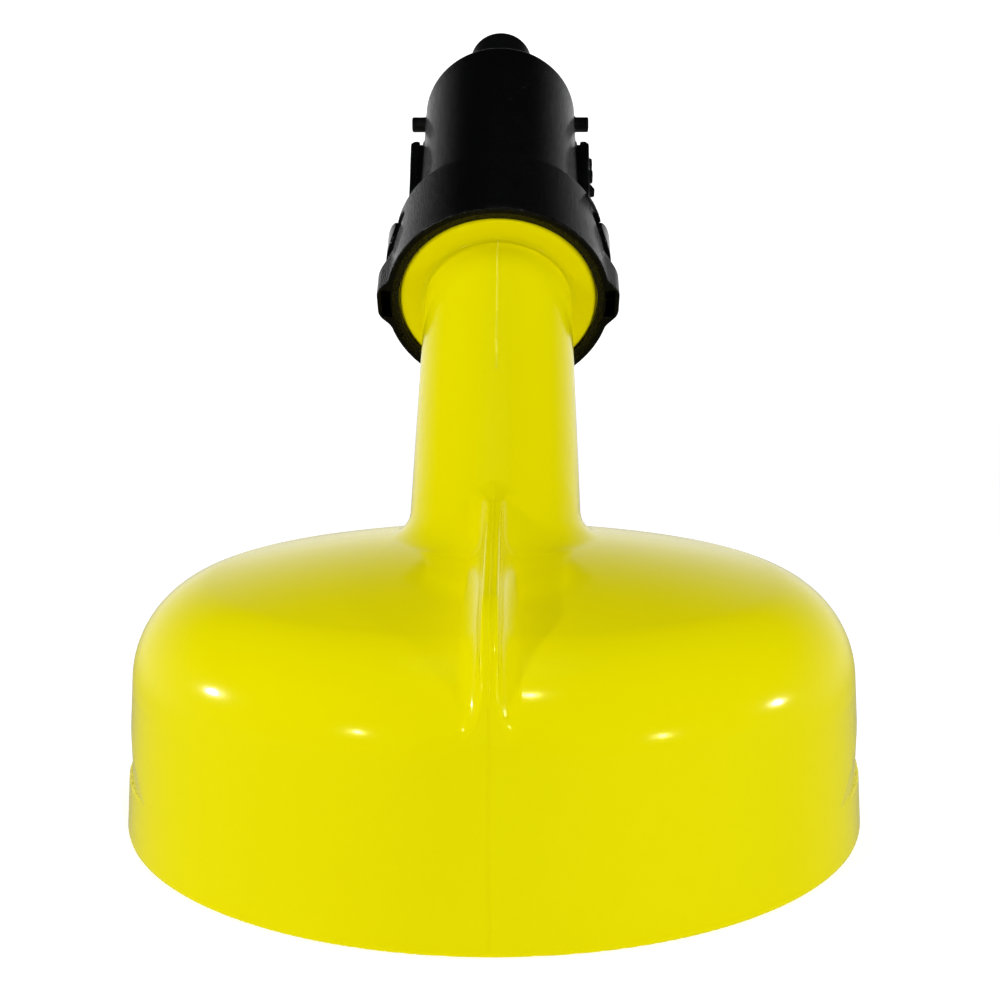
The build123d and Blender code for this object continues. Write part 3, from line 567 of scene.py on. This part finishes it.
def collar_field(x, along, raised):
    """The collar's solid, in the spout's own directions."""
    reach, beside, height = np.hypot(x, raised), np.abs(x), np.abs(raised)
    taper = (collar_rim - collar_top) / (collar_high - collar_low)
    body = reach - collar_rim + taper * (along - collar_low)
    body = inside_both(body, band(along, collar_low, collar_high), collar_edge)
    corner = (wing_reach - wing_corner, wing_side)
    shoulder = flat_between(beside, height, (wing_reach, wing_tip), corner)
    wing = inside_both(beside - wing_reach, shoulder, wing_round)
    wing = inside_both(wing, flat_between(beside, height, corner, (pocket_inner, wing_root)), wing_round)
    ends = np.maximum(collar_low - along, (beside - wing_reach + along - wing_high) * math.sqrt(0.5))
    wing = inside_both(wing, ends, wing_end_round)
    wing = np.maximum(wing, wing_foot - beside)
    outside = inside_either(body, wing, collar_fillet)
    pocket = np.maximum(pocket_inner - reach, beside - pocket_reach)
    pocket = np.maximum(pocket, np.maximum(height - pocket_half, along - pocket_high))
    outside = inside_both(outside, -pocket, pocket_edge)
    oval = np.hypot(raised / (pad_half_width + moat_end), (along - pad_place) / (pad_half_height + moat))
    oval = (oval - 1) * (pad_half_height + moat)
    hollow = np.maximum(np.maximum(oval, pad_floor - reach), hollow_foot - beside)
    outside = inside_both(outside, -hollow, hollow_edge)
    turn = np.arctan2(raised, x)
    mark = np.maximum(band(turn, *mark_angles) * collar_top, band(along, mark_low, mark_high))
    mark = inside_both(mark, reach - collar_top - mark_height, mark_edge)
    mark = np.maximum(mark, collar_top - 1 - reach)
    outside = np.minimum(outside, mark)
    for radius, low, high in bores:
        outside = inside_both(outside, -np.maximum(reach - radius, band(along, low, high)), bore_edge)
    notch = np.maximum(height - notch_half, band(along, web_high, collar_high + 9))
    cheek = np.maximum(cheek_half - height, band(along, web_high, lip_low))
    return np.maximum(outside, -np.maximum(reach - notch_reach, np.minimum(notch, cheek)))


collar_lines = np.arange(-wing_reach - 0.8, wing_reach + 0.9, 0.36)
collar_steps = np.arange(collar_low - 0.75, collar_high + 0.8, 0.36)
collar = spout_piece(
    "twist_collar", collar_field, (collar_lines, collar_steps, collar_lines),
    "collar", "black_moulding", black,
)
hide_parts("collar")

matt, tree, shader = new_material("black_matt")
haze = textured(tree, "ShaderNodeTexNoise", 900.0, Detail=3.0)
tree.links.new(
    blended(tree, haze.outputs["Fac"], (0.0020, 0.0020, 0.0018), (0.0036, 0.0035, 0.0030)),
    shader.inputs["Base Color"],
)
tree.links.new(ranged(tree, haze.outputs["Fac"], 0.4, 0.5), shader.inputs["Roughness"])
shader.inputs["Specular IOR Level"].default_value = 0.06
collar.data.materials.append(matt)
for polygon in collar.data.polygons:
    if np.dot(polygon.normal, spout_along) < -0.9:
        polygon.material_index = 1


# ---- Retaining ring and thrust washer ----
# The snap ring behind the flange is the same black plastic as the collar that it holds on. An off-white
# slippery washer lies between the flange and the collar, so that they turn without binding.
dressed(black, "retaining_ring")
slippery, tree, shader = new_material("off_white_washer")
skived = textured(tree, "ShaderNodeTexNoise", 220.0, Detail=4.0)
tree.links.new(
    blended(tree, skived.outputs["Fac"], (0.66, 0.655, 0.61), (0.74, 0.735, 0.70)),
    shader.inputs["Base Color"],
)
tree.links.new(ranged(tree, skived.outputs["Fac"], 0.40, 0.55), shader.inputs["Roughness"])
dressed(slippery, "thrust_washer")


# ---- Thumb pads ----
# Two oval pads of smooth black plastic stand in the collar's side hollows. The mould was polished for them,
# so they have only a breath of waviness.
polished, tree, shader = new_material("black_gloss")
rub = textured(tree, "ShaderNodeTexNoise", 420.0, Detail=3.0)
tree.links.new(
    blended(tree, rub.outputs["Fac"], (0.0015, 0.0015, 0.0017), (0.003, 0.003, 0.0033)),
    shader.inputs["Base Color"],
)
tree.links.new(ranged(tree, rub.outputs["Fac"], 0.07, 0.12), shader.inputs["Roughness"])
shader.inputs["Specular IOR Level"].default_value = 0.12
wave = textured(tree, "ShaderNodeTexNoise", 180.0, Detail=1.0)
embossed(tree, shader, wave.outputs["Fac"], 0.00006)
dressed(polished, "thumb_pad_left", "thumb_pad_right")


# ---- Barrel ----
# The black tube that slides out when the collar turns. Two grooved rails key it to the collar, two pegs near
# its end take a dust cap's lugs, and the right-hand rail has two index bars and a pointer on its back.
barrel_low, barrel_high = 78.05, 144.75
barrel_radius, barrel_bore = 17.9, 14.65
end_wall_low, cone_length, cone_radius, tip_root = 141.75, 7.7, 11.65, 8.2
end_round, barrel_fillet = 2.4, 0.3
rail_low, rail_high, rail_half = 79.05, 128.65, 2.2
rail_reach, rail_end_reach, flare_low, rail_corner = 20.1, 20.95, 99.05, 1.2
rail_edge, rail_groove, groove_depth, groove_edge = 0.3, (18.1, 18.8), 0.9, 0.12
peg_place, peg_radius, peg_reach, peg_edge, peg_fillet = 139.45, 1.75, 21.2, 0.35, 0.25
bar_places, bar_reach, bar_half, bar_edge = (121.65, 117.05), 21.45, 1.3, 0.3
pointer_low, pointer_high, pointer_reach = 110.25, 113.85, 21.8
bar_side, bar_side_edge = 1.2, 0.25


def barrel_field(x, along, raised):
    """The barrel's solid, in the spout's own directions."""
    reach, beside, height = np.hypot(x, raised), np.abs(x), np.abs(raised)
    tube = inside_both(reach - barrel_radius, along - barrel_high, end_round)
    tube = np.maximum(tube, barrel_low - along)
    flare = (rail_end_reach - rail_reach) / (rail_high - flare_low)
    back = beside - rail_reach - flare * np.maximum(along - flare_low, 0)
    rail = inside_both(back, along - rail_high, rail_corner)
    rail = np.maximum(rail, np.maximum(rail_low - along, barrel_bore + 1 - beside))
    rail = inside_both(rail, height - rail_half, rail_edge)
    groove = np.maximum(band(beside, *rail_groove), rail_half - groove_depth - height)
    rail = inside_both(rail, -groove, groove_edge)
    outside = inside_either(tube, rail, barrel_fillet)
    peg = np.hypot(along - peg_place, raised) - peg_radius
    peg = inside_both(np.maximum(peg, barrel_bore + 1 - beside), beside - peg_reach, peg_edge)
    outside = inside_either(outside, peg, peg_fillet)
    marks = np.full(np.broadcast(x, along, raised).shape, 99.0)
    for place in bar_places:
        bar = inside_both(x - bar_reach, band(along, place - bar_half, place + bar_half), bar_edge)
        marks = np.minimum(marks, bar)
    slant = flat_between(x, along, (pointer_reach, pointer_low), (rail_reach, pointer_high))
    marks = np.minimum(marks, inside_both(slant, pointer_low - along, bar_side_edge))
    marks = inside_both(marks, height - bar_side, bar_side_edge)
    outside = np.minimum(outside, np.maximum(marks, barrel_radius - x))
    bore = np.maximum(reach - barrel_bore, along - end_wall_low)
    cone = reach - cone_radius - (end_wall_low - along) * (barrel_bore - cone_radius) / cone_length
    bore = np.minimum(np.maximum(bore, cone), reach - tip_root)
    return np.maximum(outside, -bore)


barrel_lines = np.arange(-22.6, 22.7, 0.4)
barrel_steps = np.arange(barrel_low - 0.8, barrel_high + 0.8, 0.5)
barrel = spout_piece(
    "nozzle_barrel", barrel_field, (barrel_lines, barrel_steps, barrel_lines),
    "barrel", "black_moulding", black,
)
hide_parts("barrel")


# ---- Nozzle tip ----
# The narrow outlet, turned to fit the barrel's end and bonded into it. It is the same black plastic, a little
# smoother because it was polished to slip into a filler hole.
sleek, tree, shader = new_material("black_smooth")
scuff = textured(tree, "ShaderNodeTexNoise", 130.0, Detail=4.0)
tree.links.new(
    blended(tree, scuff.outputs["Fac"], (0.0016, 0.0017, 0.0018), (0.0034, 0.0035, 0.0038)),
    shader.inputs["Base Color"],
)
tree.links.new(ranged(tree, scuff.outputs["Fac"], 0.30, 0.40), shader.inputs["Roughness"])
shader.inputs["Specular IOR Level"].default_value = 0.3
fine = textured(tree, "ShaderNodeTexNoise", 2600.0, Detail=2.0)
embossed(tree, shader, fine.outputs["Fac"], 0.00003)
dressed(sleek, "nozzle_tip")


# ---- Floor, lamps and camera ----
# A pale sheet that glows runs under the lid and turns up behind it, fading towards its top. Two small lamps
# stand low on each side and a fifth hangs in front above: they give the sparks on the cap's shoulder. The
# sheet and the soft light overhead don't show in the gloss, only the pale walls do, so the black stays deep.
pale, tree, shader = new_material("pale_sheet")
shader.inputs["Base Color"].default_value = (0.5, 0.5, 0.5, 1)
shader.inputs["Roughness"].default_value = 1.0
shader.inputs["Specular IOR Level"].default_value = 0.0
shader.inputs["Emission Color"].default_value = (1, 1, 1, 1)


def faded(tree, source, start, stop, at_start, at_stop):
    """Runs smoothly from one value to another while the source goes from start to stop."""
    ramp = tree.nodes.new("ShaderNodeMapRange")
    ramp.interpolation_type = "SMOOTHSTEP"
    for socket, value in zip(("From Min", "From Max", "To Min", "To Max"), (start, stop, at_start, at_stop)):
        ramp.inputs[socket].default_value = value
    tree.links.new(source, ramp.inputs["Value"])
    return ramp.outputs["Result"]


place = tree.nodes.new("ShaderNodeTexCoord")
parts = tree.nodes.new("ShaderNodeSeparateXYZ")
tree.links.new(place.outputs["Object"], parts.inputs["Vector"])
glow = tree.nodes.new("ShaderNodeMath")
glow.operation = "MULTIPLY"
tree.links.new(faded(tree, parts.outputs["Z"], 0.35, 0.85, 1.0, 0.02), glow.inputs[0])
tree.links.new(faded(tree, parts.outputs["Y"], 0.3, 1.2, 0.72, 0.97), glow.inputs[1])
tree.links.new(glow.outputs["Value"], shader.inputs["Emission Strength"])
sheet_front, sheet_depth, sheet_bend, sheet_height, sheet_half = -1.2, 1.4, 0.3, 0.95, 2.2
sheet_line = [(sheet_front, 0.0), (sheet_depth - sheet_bend, 0.0)]
for angle in np.radians(np.arange(7.5, 91, 7.5)).tolist():
    sheet_line.append(
        (sheet_depth - sheet_bend + sheet_bend * math.sin(angle), sheet_bend * (1 - math.cos(angle)))
    )
sheet_line.append((sheet_depth, sheet_height))
sheet_points = [(side * sheet_half, y, z) for y, z in sheet_line for side in (-1, 1)]
sheet_faces = [(2 * i, 2 * i + 1, 2 * i + 3, 2 * i + 2) for i in range(len(sheet_line) - 1)]
sheet_mesh = bpy.data.meshes.new("pale_sheet")
sheet_mesh.from_pydata(sheet_points, [], sheet_faces)
sheet_mesh.polygons.foreach_set("use_smooth", [True] * len(sheet_faces))
sheet_mesh.materials.append(pale)
sheet = bpy.data.objects.new("pale_sheet", sheet_mesh)
bpy.context.collection.objects.link(sheet)
sheet.visible_glossy = False

world = bpy.data.worlds.new("studio")
bpy.context.scene.world = world
world.use_nodes = True
tree = world.node_tree
place = tree.nodes.new("ShaderNodeTexCoord")
parts = tree.nodes.new("ShaderNodeSeparateXYZ")
tree.links.new(place.outputs["Generated"], parts.inputs["Vector"])
walls = tree.nodes.new("ShaderNodeMath")
walls.operation = "MULTIPLY"
tree.links.new(faded(tree, parts.outputs["Z"], 0.0, 0.5, 0.88, 0.012), walls.inputs[0])
tree.links.new(faded(tree, parts.outputs["Y"], 0.0, 0.95, 0.17, 1.0), walls.inputs[1])
floor = tree.nodes.new("ShaderNodeMath")
floor.operation = "MULTIPLY"
tree.links.new(walls.outputs["Value"], floor.inputs[0])
tree.links.new(faded(tree, parts.outputs["Z"], -0.2, 0.0, 0.35, 1.0), floor.inputs[1])
tree.links.new(floor.outputs["Value"], tree.nodes["Background"].inputs["Strength"])
tree.nodes["Background"].inputs["Color"].default_value = (1, 1, 1, 1)


def small_lamp(name, aim, around, up, distance, width, power):
    """A round lamp, turned this many degrees around from the front and up from level."""
    around, up = math.radians(around), math.radians(up)
    way = Vector((math.sin(around) * math.cos(up), -math.cos(around) * math.cos(up), math.sin(up)))
    light = bpy.data.lights.new(name, "AREA")
    light.shape = "DISK"
    light.size = width
    light.energy = power
    lamp = bpy.data.objects.new(name, light)
    lamp.location = Vector(aim) * MM + way * distance
    lamp.rotation_euler = way.to_track_quat("Z", "Y").to_euler()
    bpy.context.collection.objects.link(lamp)


small_lamp("lamp_left", (-39, -43, 32), -97.0, 16.2, 0.75, 0.03, 1.6)
small_lamp("lamp_front_left", (-19, -56, 30), -44.3, 20.0, 0.75, 0.03, 1.2)
small_lamp("lamp_front_right", (25, -54, 29), 54.5, 11.6, 0.75, 0.03, 0.85)
small_lamp("lamp_right", (41, -43, 30), 95.7, 10.1, 0.75, 0.03, 1.0)
small_lamp("lamp_above", (6, -56, 35), 20.0, 62.3, 0.75, 0.024, 1.4)

soft = bpy.data.lights.new("soft_above", "AREA")
soft.shape = "DISK"
soft.size = 0.8
soft.energy = 5.6
soft_above = bpy.data.objects.new("soft_above", soft)
soft_above.location = (0, 0, 1.25)
soft_above.visible_glossy = False
bpy.context.collection.objects.link(soft_above)

camera_data = bpy.data.cameras.new("camera")
camera_data.lens = 53.08
camera_data.sensor_width = 36.0
camera_data.shift_y = 0.0801
camera = bpy.data.objects.new("camera", camera_data)
camera.location = (0.00297, -0.24387, 0.08952)
camera.rotation_euler = (math.radians(90 - 11.77), 0, math.radians(0.47))
bpy.context.collection.objects.link(camera)
bpy.context.scene.camera = camera
bpy.context.scene.view_settings.view_transform = "Standard"
